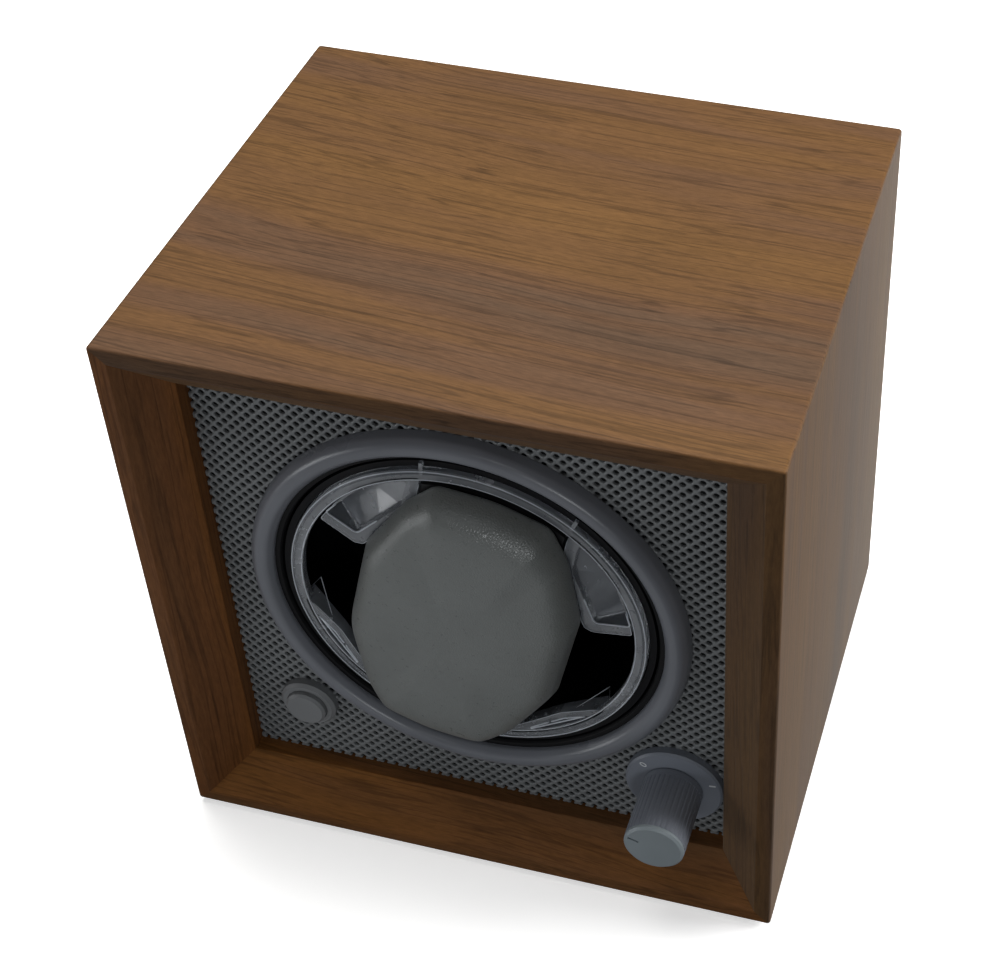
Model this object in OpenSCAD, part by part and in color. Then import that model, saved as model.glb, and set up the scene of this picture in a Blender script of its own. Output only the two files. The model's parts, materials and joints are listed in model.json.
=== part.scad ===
// Single watch winder: a mitred walnut case with a perforated front panel, a turning cup with a
// clear watch holder and a padded pillow, a belt and gear drive behind it, and two controls.
// Lengths are millimetres. +Z is up, the open front faces -Y, and the origin is at the middle of
// the floor plan. "Depth" always means the distance behind the front rim of the case.

/* [Case] */
// Outside width of the wooden case
case_w = 150; // [148:1:156]
// Outside height of the wooden case
case_h = 150; // [148:1:156]
// Depth of the wooden case, front rim to back
case_d = 124; // [122:1:130]
// Thickness of the four boards
board_t = 14; // [13:0.5:14.5]
// Width of the flat front rim, outside the bevel
rim_w = 4; // [3:0.5:6]
// How far the bevel runs back from the rim
bevel_depth = 8.5; // [6:0.5:10]
// Thickness of the back panel
back_t = 4; // [3:0.5:5]
// Height of the rubber feet below the case
foot_h = 1.5; // [1:0.5:3]

/* [Front panel] */
// Depth of the perforated sheet's face behind the rim
panel_depth = 12.3; // [11:0.1:13]
// Thickness of the perforated sheet
sheet_t = 0.8; // [0.6:0.1:1]
// Thickness of the board behind the perforated sheet
panel_t = 4; // [3:0.5:5]

/* [Drum] */
// Height of the drum axis above the bottom of the case
drum_up = 79.5; // [79:0.5:80]
// How far the drum is turned at rest, clockwise seen from the front
drum_tilt = 14.5; // [0:0.5:45]
// Inside radius of the bezel ring
bezel_bore_r = 45.2; // [45.2:0.1:45.6]
// Depth of the bezel's raised crest behind the rim
bezel_crest_depth = 8.3; // [7:0.1:9]
// Outside radius of the cup that turns inside the bezel
cup_r = 44.6; // [44:0.1:44.6]
// Outside radius of the clear holder ring
holder_r = 42.7; // [42:0.1:42.7]
// Depth of the clear holder's front face behind the rim
holder_depth = 10.2; // [10.2:0.1:10.6]

/* [Pillow] */
// Half the length of the pad, along the watch strap's axis
pad_half_l = 40.8; // [39:0.2:41]
// Half the width of the pad
pad_half_w = 25.9; // [24:0.1:26]
// Thickness of the pad
pad_t = 8.9; // [7:0.1:8.9]

/* [Drive] */
// Effective radius of the driven pulley on the drum
driven_r = 26; // [26:1:27]
// Effective radius of the drive pulley on the gearbox
drive_r = 6.5; // [6.5:0.5:7]
// Side of the square rubber belt's section
belt_w = 2; // [1.6:0.1:2.4]
// Gear module
gear_m = 0.5; // [0.5]
// Teeth on the motor pinion and on the compound gear's small wheel
small_teeth = 10; // [10]
// Teeth on the compound gear's large wheel and on the output gear
large_teeth = 30; // [30]

/* [Controls] */
// Knob position: right of the centre line
knob_x = 48.4; // [47:0.1:48.5]
// Knob position: height above the bottom of the case
knob_up = 31.7; // [30:0.1:33]
// Knob diameter
knob_d = 14.6; // [13:0.1:16]
// How far the knob stands out in front of the rim
knob_out = 8; // [6:0.5:9]
// Dial plate diameter
dial_d = 24; // [22:0.5:24]
// Button position: left of the centre line
button_x = -44.8; // [-46:0.1:-44]
// Button position: height above the bottom of the case
button_up = 33.9; // [33:0.1:35]
// Button flange diameter
button_flange_d = 14.2; // [13:0.1:15]
// Button cap diameter
button_cap_d = 10.2; // [9:0.1:10.4]

/* [Hidden] */
$fn = 96;

front_y = -(case_d - knob_out) / 2;    // the rim, so that knob and back are equally far from Y = 0
run_gap = 0.04;                        // radial clearance of a running fit
cut = 1;                               // how far a cutter runs past a face

inner_half = case_w / 2 - board_t;     // half the cavity's width
floor_z = foot_h + board_t;            // the cavity's floor
roof_z = foot_h + case_h - board_t;    // the cavity's roof
cavity_h = roof_z - floor_z;
mid_z = (floor_z + roof_z) / 2;
drum_z = foot_h + drum_up;

rebate_w = 5;                          // how far the back panel reaches over the boards
sheet_back = panel_depth + sheet_t;
panel_back = sheet_back + panel_t;
back_depth = case_d - back_t;          // inner face of the back panel

sleeve_r = 47;                         // outside of the bezel's sleeve
panel_fit = 0.15;                      // clearance round the panels and in their holes
bezel_flange_r = 53.6;

cup_depth = 11.5;                      // the cup's front edge
cup_wall = 1.6;
cup_floor = 66;                        // the inside of the cup's floor
cup_floor_t = 3;
boss_r = 6;
cup_boss_len = 6;
spindle_r = 3;
pulley_depth = 71;                     // front face of both pulleys
pulley_t = 6;
belt_gap = 0.3;                        // the belt is drawn just clear of its grooves
groove_w = belt_w + 2 * belt_gap;
groove_depth = pulley_depth + (pulley_t - groove_w) / 2;
flange_over = 1.8;                     // how far a pulley's flanges stand above its groove
plate_depth = 80;                      // front face of the motor plate
plate_t = 4;
plate_back = plate_depth + plate_t;
bush_r = 5;
clip_depth = 86.4;
spindle_end = 90;
block_w = 12;                          // section of the corner blocks
block_mid = inner_half - block_w / 2;

pitch_small = gear_m * small_teeth / 2;
pitch_large = gear_m * large_teeth / 2;
gear_centres = pitch_small + pitch_large;
motor_x = -44;
motor_z = foot_h + 33;
compound_turn = 45;                    // direction from the motor to the compound gear
output_turn = 50;                      // direction from the compound gear to the output gear
compound_x = motor_x + gear_centres * cos(compound_turn);
compound_z = motor_z + gear_centres * sin(compound_turn);
output_x = compound_x + gear_centres * cos(output_turn);
output_z = compound_z + gear_centres * sin(output_turn);
output_level = 86;                     // depth of the output gear and the wheel it meshes with
output_gear_t = 4;
motor_level = 91;                      // depth of the motor pinion and the wheel it meshes with
motor_gear_t = 3;
pin_r = 1;
output_shaft_r = 1.5;
motor_shaft_r = 1;
cover_inside = 95;                     // the cover's inner face
cover_back = 98;

motor_r = 10;
motor_flat = 7.6;                      // half the motor's height across its flats
motor_len = 22;
motor_cap_t = 3;

plate_front = panel_depth - 2.3;       // face of the dial plate
knob_back = plate_front - 0.3;
knob_z = foot_h + knob_up;
shaft_r = 3;                           // potentiometer shaft
bush_thread_r = 3.5;                   // potentiometer bush
button_z = foot_h + button_up;
button_face = panel_depth - 2.6;       // face of the button's flange
button_barrel_r = 5.8;
button_cap_front = button_face - 1.6;

board_x = 30;
board_z = foot_h + 58;
board_depth = 110;
board_half_w = 22;
board_half_h = 17;
lead_hole_x = [-30, 42];
lead_hole_r = 3.5;
lead_z = foot_h + 19.5;
jack_x = 30;
jack_z = foot_h + 34;
jack_r = 4;
jack_bore_r = 2.8;
jack_len = 12;

// ---------- placing ----------

// 2D drawn in X and Z, made into a slab from depth d to depth d + t
module slab(d, t) translate([0, front_y + d + t, 0]) rotate([90, 0, 0]) linear_extrude(t) children();

// A turned piece about the Y axis through (x, z): its outline is [radius, depth]
module turned(x, z, outline) translate([x, front_y, z]) rotate([-90, 0, 0])
    rotate_extrude() polygon(outline);

// A round bar or hole along Y through (x, z), from depth a to depth b
module bar(x, z, r, a, b) translate([x, front_y + a, z]) rotate([-90, 0, 0]) cylinder(h = b - a, r = r);

// 2D of the drum's own frame (u across the pillow, v along it), as a slab from depth d to d + t
module drum_slab(d, t) translate([0, 0, drum_z]) rotate([0, drum_tilt, 0]) slab(d, t) children();

// A lead: straight rods with round joints along a list of [x, depth, z]
module lead(route, r = 0.7) translate([0, front_y, 0]) {
    for (i = [0 : len(route) - 2]) {
        run = route[i + 1] - route[i];
        translate(route[i]) rotate([0, acos(run.z / norm(run)), atan2(run.y, run.x)])
            cylinder(h = norm(run), r = r, $fn = 24);
    }
    for (i = [1 : len(route) - 2]) translate(route[i]) sphere(r = r * 1.35, $fn = 24);
}

// ---------- case ----------

// Section of every board: [depth, distance in from the outer face]
board_section = [[0, 0], [case_d, 0], [case_d, board_t - rebate_w], [back_depth, board_t - rebate_w],
    [back_depth, board_t], [bevel_depth, board_t], [0, rim_w]];

// A board as the bottom one of a frame that is w wide, mitred at both ends, its outer face at Z = 0
module mitred_board(w) intersection() {
    translate([-w / 2, front_y, 0]) rotate([90, 0, 90]) linear_extrude(w) polygon(board_section);
    translate([0, front_y + case_d + cut, 0]) rotate([90, 0, 0]) linear_extrude(case_d + 2 * cut)
        polygon([[-w / 2, 0], [w / 2, 0], [w / 2 - board_t, board_t], [-w / 2 + board_t, board_t]]);
}

module bottom_board() color([0.34, 0.20, 0.13]) translate([0, 0, foot_h]) mitred_board(case_w);
module top_board() color([0.42, 0.26, 0.16]) translate([0, 0, foot_h + case_h]) rotate([0, 180, 0])
    mitred_board(case_w);
module right_board() color([0.30, 0.19, 0.14]) translate([case_w / 2, 0, foot_h + case_h / 2])
    rotate([0, -90, 0]) mitred_board(case_h);
module left_board() color([0.33, 0.20, 0.13]) translate([-case_w / 2, 0, foot_h + case_h / 2])
    rotate([0, 90, 0]) mitred_board(case_h);

// The four corners of a rectangle centred on the cavity
module at_corners(half_w, half_h, z = mid_z) for (sx = [-1, 1], sz = [-1, 1])
    translate([sx * half_w, 0, z + sz * half_h]) children();

block_rise = cavity_h / 2 - block_w / 2;     // height of the corner blocks' axes above mid_z

module back_panel() color([0.10, 0.10, 0.11]) difference() {
    slab(back_depth, back_t) translate([0, mid_z])
        square([case_w - 2 * (board_t - rebate_w) - 2 * panel_fit,
                case_h - 2 * (board_t - rebate_w) - 2 * panel_fit], center = true);
    at_corners(block_mid, block_rise) {
        bar(0, 0, 1.6, back_depth - cut, case_d + cut);
        bar(0, 0, 3, case_d - 2, case_d + cut);
    }
    bar(jack_x, jack_z, jack_r, back_depth - cut, case_d + cut);
}

module back_screws() color([0.2, 0.2, 0.21]) at_corners(block_mid, block_rise) difference() {
    union() {
        bar(0, 0, 1.5, back_depth - 10, case_d - 1.5);
        bar(0, 0, 2.8, case_d - 1.8, case_d - 0.2);
    }
    for (turn = [0, 90]) translate([0, front_y + case_d, 0]) rotate([0, turn, 0])
        cube([3.4, 2, 0.7], center = true);
}

module feet() color([0.06, 0.06, 0.06]) for (sx = [-1, 1], sy = [-1, 1])
    translate([sx * (case_w / 2 - 14), front_y + case_d / 2 + sy * (case_d / 2 - 14), 0])
        cylinder(h = foot_h, r = 6);

module corner_blocks() color([0.62, 0.50, 0.36]) difference() {
    slab(plate_back, back_depth - plate_back) at_corners_2d() square(block_w, center = true);
    at_corners(block_mid, block_rise) {
        bar(0, 0, 1.5, back_depth - 10.5, back_depth + cut);
        bar(0, 0, 1.5, plate_back - cut, plate_back + 10.5);
    }
}
module at_corners_2d() for (sx = [-1, 1], sz = [-1, 1])
    translate([sx * block_mid, mid_z + sz * block_rise]) children();

// ---------- front panel ----------

module panel_outline() translate([0, mid_z])
    square([2 * (inner_half - panel_fit), cavity_h - 2 * panel_fit], center = true);

module panel_holes(r_drum) {
    translate([0, drum_z]) circle(r = r_drum);
    translate([knob_x, knob_z]) circle(r = bush_thread_r + 0.1);
    translate([button_x, button_z]) circle(r = button_barrel_r + 0.1);
}

module front_panel() color([0.12, 0.12, 0.13]) slab(sheet_back, panel_t) difference() {
    panel_outline();
    panel_holes(sleeve_r + panel_fit);
}

module mesh_sheet() color([0.36, 0.38, 0.42]) slab(panel_depth, sheet_t) difference() {
    panel_outline();
    panel_holes(sleeve_r + panel_fit);
}

// Strips glued to the boards behind the front panel
cleat_w = 4;
module panel_cleats() color([0.62, 0.50, 0.36]) slab(panel_back, 5) difference() {
    panel_outline();
    translate([0, mid_z]) square([2 * (inner_half - cleat_w), cavity_h - 2 * cleat_w], center = true);
    translate([0, drum_z]) circle(r = 50);
    for (sx = [-1, 1], sz = [-1, 1]) translate([sx * inner_half, mid_z + sz * cavity_h / 2])
        square(30, center = true);
}

// Convex flank outside, rounded lip inside, and a sleeve that goes through the panel
flank_steps = 10;
bezel_section = concat(
    [[bezel_bore_r, panel_depth - 0.8], [bezel_bore_r + 0.4, bezel_crest_depth + 0.8],
     [bezel_bore_r + 1.1, bezel_crest_depth], [51, bezel_crest_depth]],
    [for (i = [1 : flank_steps]) [51 + (bezel_flange_r - 51) * sin(90 * i / flank_steps),
        panel_depth - (panel_depth - bezel_crest_depth) * cos(90 * i / flank_steps)]],
    [[sleeve_r, panel_depth], [sleeve_r, panel_back + 7], [bezel_bore_r, panel_back + 7]]);
module bezel_ring() color([0.30, 0.32, 0.37]) turned(0, drum_z, bezel_section);

// ---------- turning cup, clear holder, pillow ----------

module drum_cup() color([0.05, 0.05, 0.06]) difference() {
    turned(0, drum_z, [[cup_r - cup_wall, cup_depth], [cup_r, cup_depth],
        [cup_r, cup_floor + cup_floor_t], [9, cup_floor + cup_floor_t],
        [9, pulley_depth], [spindle_r, pulley_depth], [spindle_r, cup_floor - cup_boss_len],
        [boss_r, cup_floor - cup_boss_len], [boss_r, cup_floor], [cup_r - cup_wall, cup_floor]]);
    pulley_screw_places() bar(0, 0, 1, cup_floor + 0.6, pulley_depth + cut);
}

// Outline of a clear lobe, from the ring in, along its inner corners and back out; side = -1 mirrors
upper_lobe = [[37.2, 12.4], [28.6, 8.9], [26.6, 9.3], [17.3, 24.6], [17.2, 26.4], [17.2, 37.2], [30, 30]];
upper_lobe_cavity = [[36.4, 15.2], [28.2, 12.1], [19.8, 25.6], [19.7, 35], [28.5, 28.5]];
lower_lobe = [[38.4, -14.8], [27.6, -22.9], [22.3, -29.3], [17.6, -34.6], [17.6, -37], [30, -30]];
lower_lobe_cavity = [[36.6, -18.2], [28.8, -24.2], [23.8, -29.9], [21, -33.4], [28.5, -28.5]];
lobe_depth = 8;
ring_w = 3;

// The space in front of a floor that slopes back from the inner edge to the ring.
// lean is the direction in which it deepens, from_s and from_d where it starts
module scoop_front(lean, from_s, from_d) translate([0, front_y + holder_depth + from_d, 0])
    rotate([0, -lean, 0]) translate([from_s, 0, 0]) rotate([0, 0, 27])
        translate([-60, -80, -60]) cube([120, 80, 120]);

module lobe(outline, cavity, lean, from_s) difference() {
    intersection() {
        slab(holder_depth, lobe_depth) union() {
            intersection() { polygon(outline); circle(r = holder_r - 0.5); }
            difference() {
                intersection() {
                    polygon([for (p = outline) p * 1.4]);
                    polygon(concat([[0, 0]], [outline[0] * 1.4, [60 * cos(lean), 60 * sin(lean)],
                        outline[len(outline) - 2] * 1.4]));
                    circle(r = holder_r - 0.5);
                }
                circle(r = holder_r - ring_w);
            }
        }
        scoop_front(lean, from_s, 2.2);
    }
    intersection() {
        slab(holder_depth - cut, lobe_depth + 2 * cut) intersection() {
            polygon(cavity);
            circle(r = holder_r - ring_w);
        }
        scoop_front(lean, from_s, 0.8);
    }
}

module clear_holder() color([0.80, 0.84, 0.88, 0.45]) translate([0, 0, drum_z]) rotate([0, drum_tilt, 0]) {
    turned(0, 0, [[holder_r - ring_w, holder_depth], [holder_r - 0.5, holder_depth],
        [holder_r, holder_depth + 0.5], [holder_r, holder_depth + 16],
        [holder_r - 1.2, holder_depth + 16], [holder_r - 1.2, holder_depth + 3],
        [holder_r - ring_w, holder_depth + 2.4]]);
    for (side = [0, 1]) mirror([side, 0, 0]) {
        lobe(upper_lobe, upper_lobe_cavity, 32.5, 28);
        lobe(lower_lobe, lower_lobe_cavity, -40, 34);
    }
}

module spindle() color([0.75, 0.76, 0.78]) difference() {
    bar(0, drum_z, spindle_r, cup_floor - cup_boss_len, spindle_end);
    turned(0, drum_z, [[spindle_r - 0.4, clip_depth], [spindle_r + cut, clip_depth],
        [spindle_r + cut, clip_depth + 0.8], [spindle_r - 0.4, clip_depth + 0.8]]);
}

module pulley_screw_places() for (turn = [0 : 120 : 359])
    translate([0, 0, drum_z]) rotate([0, turn + drum_tilt, 0]) translate([0, 0, 7.5]) children();

// A pulley with a square groove; bore_r is its bore
module pulley(x, z, groove_r, bore_r) turned(x, z, [[bore_r, pulley_depth],
    [groove_r + flange_over, pulley_depth], [groove_r + flange_over, groove_depth],
    [groove_r, groove_depth], [groove_r, groove_depth + groove_w],
    [groove_r + flange_over, groove_depth + groove_w],
    [groove_r + flange_over, pulley_depth + pulley_t], [bore_r, pulley_depth + pulley_t]]);

module driven_pulley() color([0.15, 0.15, 0.16]) difference() {
    pulley(0, drum_z, driven_r, spindle_r);
    pulley_screw_places() {
        bar(0, 0, 1, pulley_depth - cut, pulley_depth + pulley_t + cut);
        bar(0, 0, 1.8, pulley_depth + pulley_t - 1.4, pulley_depth + pulley_t + cut);
    }
    for (turn = [0 : 60 : 359]) translate([0, 0, drum_z]) rotate([0, turn, 0])
        bar(0, 17, 4.5, pulley_depth - cut, pulley_depth + pulley_t + cut);
}

module pulley_screws() color([0.7, 0.71, 0.73]) pulley_screw_places() {
    bar(0, 0, 0.95, cup_floor + 0.8, pulley_depth + pulley_t - 1);
    bar(0, 0, 1.75, pulley_depth + pulley_t - 1.4, pulley_depth + pulley_t - 0.2);
}

module spindle_clip() color([0.5, 0.51, 0.53]) difference() {
    turned(0, drum_z, [[spindle_r - 0.4, clip_depth + 0.1], [5, clip_depth + 0.1],
        [5, clip_depth + 0.7], [spindle_r - 0.4, clip_depth + 0.7]]);
    translate([-1.2, front_y + clip_depth - cut, drum_z]) cube([2.4, 3, 8]);
}

// Half outline of the pad in (u, v): straight sides, corners drawn in past the lobes, round ends
pad_outline = [[pad_half_w, -13], [pad_half_w, 13], [18.6, 30], [12, 37.6], [0, pad_half_l],
    [-12, 37.6], [-18.6, 30], [-pad_half_w, 13], [-pad_half_w, -13], [-18.6, -30], [-12, -37.6],
    [0, -pad_half_l], [12, -37.6], [18.6, -30]];
pad_back = holder_depth - 0.3;
module pillow_pad() color([0.30, 0.34, 0.34]) drum_slab(pad_back - pad_t, pad_t) polygon(pad_outline);

core_half_w = 16.5;
core_back = 58;
module pillow_core() color([0.07, 0.07, 0.08]) drum_slab(pad_back, core_back - pad_back) intersection() {
    square([2 * core_half_w, 90], center = true);
    circle(r = holder_r - ring_w - 0.6);
}

// ---------- bearing plate and drive ----------

// The cover's three screws stand round the gear train
train_turn = atan2(output_z - motor_z, output_x - motor_x);
function beside(x, z, turn) = [x, z] + 13 * [cos(turn), sin(turn)];
cover_screw_places = [beside(compound_x, compound_z, train_turn + 90),
    beside(compound_x, compound_z, train_turn - 90), beside(output_x, output_z, train_turn)];
module at_cover_screws() for (p = cover_screw_places) translate([p.x, 0, p.y]) children();

module motor_plate() color([0.14, 0.14, 0.15]) difference() {
    slab(plate_depth, plate_t) panel_outline();
    bar(0, drum_z, bush_r, plate_depth - cut, plate_back + cut);
    bar(output_x, output_z, output_shaft_r + run_gap, plate_depth - cut, plate_back + cut);
    bar(motor_x, motor_z, 3.2, plate_depth - cut, plate_back + cut);
    bar(compound_x, compound_z, pin_r, plate_back - 3, plate_back + cut);
    at_corners(block_mid, block_rise) bar(0, 0, 1.6, plate_depth - cut, plate_back + cut);
    at_motor_screws() bar(0, 0, 1.05, plate_depth - cut, plate_back + cut);
    at_cover_screws() bar(0, 0, 1, plate_back - 3, plate_back + cut);
    at_standoffs() bar(0, 0, 1.25, plate_back - 3, plate_back + cut);
    for (x = lead_hole_x) bar(x, lead_z, lead_hole_r, plate_depth - cut, plate_back + cut);
}

module plate_screws() color([0.7, 0.71, 0.73]) at_corners(block_mid, block_rise) {
    bar(0, 0, 1.45, plate_depth - 0.5, plate_back + 10);
    bar(0, 0, 2.9, plate_depth - 2, plate_depth);
}

module spindle_bush() color([0.72, 0.55, 0.28]) turned(0, drum_z, [[spindle_r + run_gap, plate_depth - 1.6],
    [7, plate_depth - 1.6], [7, plate_depth], [bush_r, plate_depth], [bush_r, clip_depth - 0.4],
    [spindle_r + run_gap, clip_depth - 0.4]]);

// The belt: a loop round both pulleys, belt_gap outside their grooves. Its outline is an arc round
// each pulley in short flats, and the two straight runs join their ends.
span = norm([output_x, output_z - drum_z]);
span_turn = atan2(output_z - drum_z, output_x);
wrap = 90 - asin((driven_r - drive_r) / span);     // where the straight runs leave the pulleys
driven_flats = 48;
drive_flats = 16;
module belt_loop(grow) polygon(concat(
    [for (i = [0 : driven_flats]) (driven_r + grow) * [1, 0] * cos(wrap + i * (360 - 2 * wrap) / driven_flats)
        + (driven_r + grow) * [0, 1] * sin(wrap + i * (360 - 2 * wrap) / driven_flats)],
    [for (i = [0 : drive_flats]) [span, 0]
        + (drive_r + grow) * [1, 0] * cos(-wrap + i * 2 * wrap / drive_flats)
        + (drive_r + grow) * [0, 1] * sin(-wrap + i * 2 * wrap / drive_flats)]));
module drive_belt() color([0.05, 0.05, 0.05]) slab(groove_depth + belt_gap, belt_w)
    translate([0, drum_z]) rotate(span_turn) difference() {
        belt_loop(belt_gap + belt_w);
        belt_loop(belt_gap);
    }

module drive_pulley() color([0.15, 0.15, 0.16]) pulley(output_x, output_z, drive_r, output_shaft_r);

module output_shaft() color([0.75, 0.76, 0.78])
    bar(output_x, output_z, output_shaft_r, pulley_depth, cover_back - 0.8);

// A straight-sided gear: the teeth are a little slim and short, so that a pair runs free
function tooth(pitch_r, a, step) = [
    for (p = [[pitch_r - 0.62, -0.36], [pitch_r + 0.02, -0.21], [pitch_r + 0.38, -0.10],
              [pitch_r + 0.38, 0.10], [pitch_r + 0.02, 0.21], [pitch_r - 0.62, 0.36]])
        p.x * [cos(a + step * p.y), sin(a + step * p.y)]];
module gear_2d(teeth, turn) polygon([for (i = [0 : teeth - 1])
    each tooth(gear_m * teeth / 2, turn + i * 360 / teeth, 360 / teeth)]);

// Each wheel is turned so that a tooth of one faces a gap of the other
compound_large_turn = compound_turn + 180 + 180 / large_teeth;
compound_small_turn = output_turn;
output_gear_turn = output_turn + 180 + 180 / large_teeth;
pinion_turn = compound_turn;

module gear(x, z, d, t, teeth, turn, bore_r) slab(d, t) translate([x, z]) difference() {
    gear_2d(teeth, turn);
    circle(r = bore_r);
}

module output_gear() color([0.86, 0.84, 0.76])
    gear(output_x, output_z, output_level, output_gear_t, large_teeth, output_gear_turn, output_shaft_r);

module compound_gear() color([0.86, 0.84, 0.76]) {
    gear(compound_x, compound_z, output_level - 0.5, motor_level - output_level + 0.5, small_teeth,
        compound_small_turn, pin_r + run_gap);
    gear(compound_x, compound_z, motor_level, motor_gear_t, large_teeth, compound_large_turn,
        pin_r + run_gap);
}

module gear_pin() color([0.75, 0.76, 0.78])
    bar(compound_x, compound_z, pin_r, plate_back - 3, cover_back - 1);

module motor_pinion() color([0.72, 0.55, 0.28])
    gear(motor_x, motor_z, motor_level - 0.5, motor_gear_t + 1, small_teeth, pinion_turn, motor_shaft_r);

motor_bore_depth = plate_depth - motor_len + 3;
module motor_shaft() color([0.75, 0.76, 0.78])
    bar(motor_x, motor_z, motor_shaft_r, motor_bore_depth + 0.3, motor_level + motor_gear_t + 0.5);

module motor_outline() translate([motor_x, motor_z]) intersection() {
    circle(r = motor_r);
    square([2 * motor_r, 2 * motor_flat], center = true);
}
module at_motor_screws() for (side = [-1, 1]) translate([motor_x + side * 5, 0, motor_z]) children();

module motor_can() color([0.66, 0.67, 0.69]) difference() {
    union() {
        slab(plate_depth - motor_len, motor_len) motor_outline();
        bar(motor_x, motor_z, 3, plate_depth, plate_depth + 1.5);
    }
    bar(motor_x, motor_z, motor_shaft_r + run_gap, motor_bore_depth, plate_back);
    at_motor_screws() bar(0, 0, 1.05, plate_depth - 4, plate_depth + cut);
}

module motor_end_cap() color([0.88, 0.87, 0.82])
    slab(plate_depth - motor_len - motor_cap_t, motor_cap_t) motor_outline();

module motor_screws() color([0.7, 0.71, 0.73]) at_motor_screws() {
    bar(0, 0, 1, plate_depth - 3.6, plate_back);
    bar(0, 0, 1.7, plate_back, plate_back + 1.2);
}

module cover_outline(grow) {
    hull() {
        translate([motor_x, motor_z]) circle(r = 7 + grow, $fn = 32);
        translate([compound_x, compound_z]) circle(r = 9 + grow, $fn = 32);
        translate([output_x, output_z]) circle(r = 9 + grow, $fn = 32);
    }
}
module gearbox_cover() color([0.80, 0.79, 0.74]) difference() {
    union() {
        slab(plate_back, cover_back - plate_back) cover_outline(1.5);
        slab(plate_back, 3) for (p = cover_screw_places) translate(p) circle(r = 3.2);
    }
    slab(plate_back - cut, cover_inside - plate_back + cut) cover_outline(0);
    bar(output_x, output_z, output_shaft_r + run_gap, cover_inside - cut, cover_back + cut);
    bar(compound_x, compound_z, pin_r, cover_inside - cut, cover_back - 1);
    at_cover_screws() bar(0, 0, 1.1, plate_back - cut, plate_back + 3 + cut);
}

module cover_screws() color([0.7, 0.71, 0.73]) at_cover_screws() {
    bar(0, 0, 0.95, plate_back - 2.8, plate_back + 3);
    bar(0, 0, 1.9, plate_back + 3, plate_back + 4.2);
}

// ---------- knob ----------

flutes = 36;
pointer_turn = 19;                         // the pointer's angle above the horizontal, at rest
module knob() color([0.33, 0.35, 0.40]) difference() {
    bar(knob_x, knob_z, knob_d / 2, -knob_out + 1.2, knob_back);
    for (i = [0 : flutes - 1]) translate([knob_x, 0, knob_z]) rotate([0, i * 360 / flutes, 0])
        bar(0, knob_d / 2 + 0.3, 0.45, -knob_out, knob_back - 1.5);
    bar(knob_x, knob_z, shaft_r, -knob_out + 4, knob_back + cut);
}

module knob_cap() color([0.55, 0.57, 0.60]) difference() {
    turned(knob_x, knob_z, [[0, -knob_out], [knob_d / 2 - 0.7, -knob_out],
        [knob_d / 2 - 0.1, -knob_out + 0.5], [knob_d / 2 - 0.1, -knob_out + 1.2], [0, -knob_out + 1.2]]);
    translate([knob_x, front_y - knob_out - cut, knob_z]) rotate([0, pointer_turn, 0])
        translate([-6.4, 0, -0.25]) cube([2.7, cut + 0.4, 0.5]);
}

module dial_plate() color([0.33, 0.35, 0.40]) difference() {
    turned(knob_x, knob_z, [[bush_thread_r + 0.1, plate_front], [dial_d / 2 - 0.5, plate_front],
        [dial_d / 2, plate_front + 0.5], [dial_d / 2, panel_depth], [bush_thread_r + 0.1, panel_depth]]);
}

module pot_shaft() color([0.75, 0.76, 0.78]) bar(knob_x, knob_z, shaft_r, -knob_out + 4, panel_back + 4);

module pot_body() color([0.45, 0.46, 0.48]) difference() {
    union() {
        bar(knob_x, knob_z, 8.2, panel_back + 0.5, panel_back + 9);
        bar(knob_x, knob_z, bush_thread_r, plate_front + 0.3, panel_back + 1);
        slab(panel_back + 1, 1.6) translate([knob_x, knob_z - 10]) square([11, 6], center = true);
    }
    bar(knob_x, knob_z, shaft_r + run_gap, plate_front - cut, panel_back + 5);
}

module pot_nut() color([0.72, 0.55, 0.28]) slab(panel_back, 0.5) translate([knob_x, knob_z]) difference() {
    circle(r = 5);
    circle(r = bush_thread_r);
}

// ---------- button ----------

module button_body() color([0.31, 0.33, 0.38]) difference() {
    union() {
        turned(button_x, button_z, [[0, button_face], [button_flange_d / 2 - 0.8, button_face],
            [button_flange_d / 2, button_face + 0.8], [button_flange_d / 2, panel_depth],
            [0, panel_depth]]);
        bar(button_x, button_z, button_barrel_r, panel_depth - 0.2, panel_back + 12);
    }
    bar(button_x, button_z, button_cap_d / 2 + 0.15, button_face - cut, panel_back + 3);
    bar(button_x, button_z, 3.4, panel_back + 3 - cut, panel_back + 10);
}

module button_cap() color([0.31, 0.33, 0.38]) {
    turned(button_x, button_z, [[0, button_cap_front], [button_cap_d / 2 - 0.6, button_cap_front],
        [button_cap_d / 2, button_cap_front + 0.6], [button_cap_d / 2, panel_back + 1],
        [0, panel_back + 1]]);
}

// A coil spring drawn as a stack of rings between the cap and the bottom of the barrel
spring_turns = 5;
module button_spring() color([0.75, 0.76, 0.78]) for (i = [0 : spring_turns - 1])
    turned(button_x, button_z, [for (a = [0 : 45 : 359])
        [2.6 + 0.35 * cos(a), panel_back + 1.4 + i * 1.95 + 0.35 * sin(a)]]);

module button_nut() color([0.16, 0.16, 0.17]) slab(panel_back, 3) translate([button_x, button_z])
    difference() {
        circle(r = 9, $fn = 6);
        circle(r = button_barrel_r);
    }

// ---------- electronics ----------

module at_standoffs() at_corners(board_half_w - 3, board_half_h - 3, board_z) translate([board_x, 0, 0])
    children();

module control_board() color([0.05, 0.28, 0.14]) difference() {
    slab(board_depth, 1.6) translate([board_x, board_z])
        square([2 * board_half_w, 2 * board_half_h], center = true);
    at_standoffs() bar(0, 0, 1.3, board_depth - cut, board_depth + 1.6 + cut);
}

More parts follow.
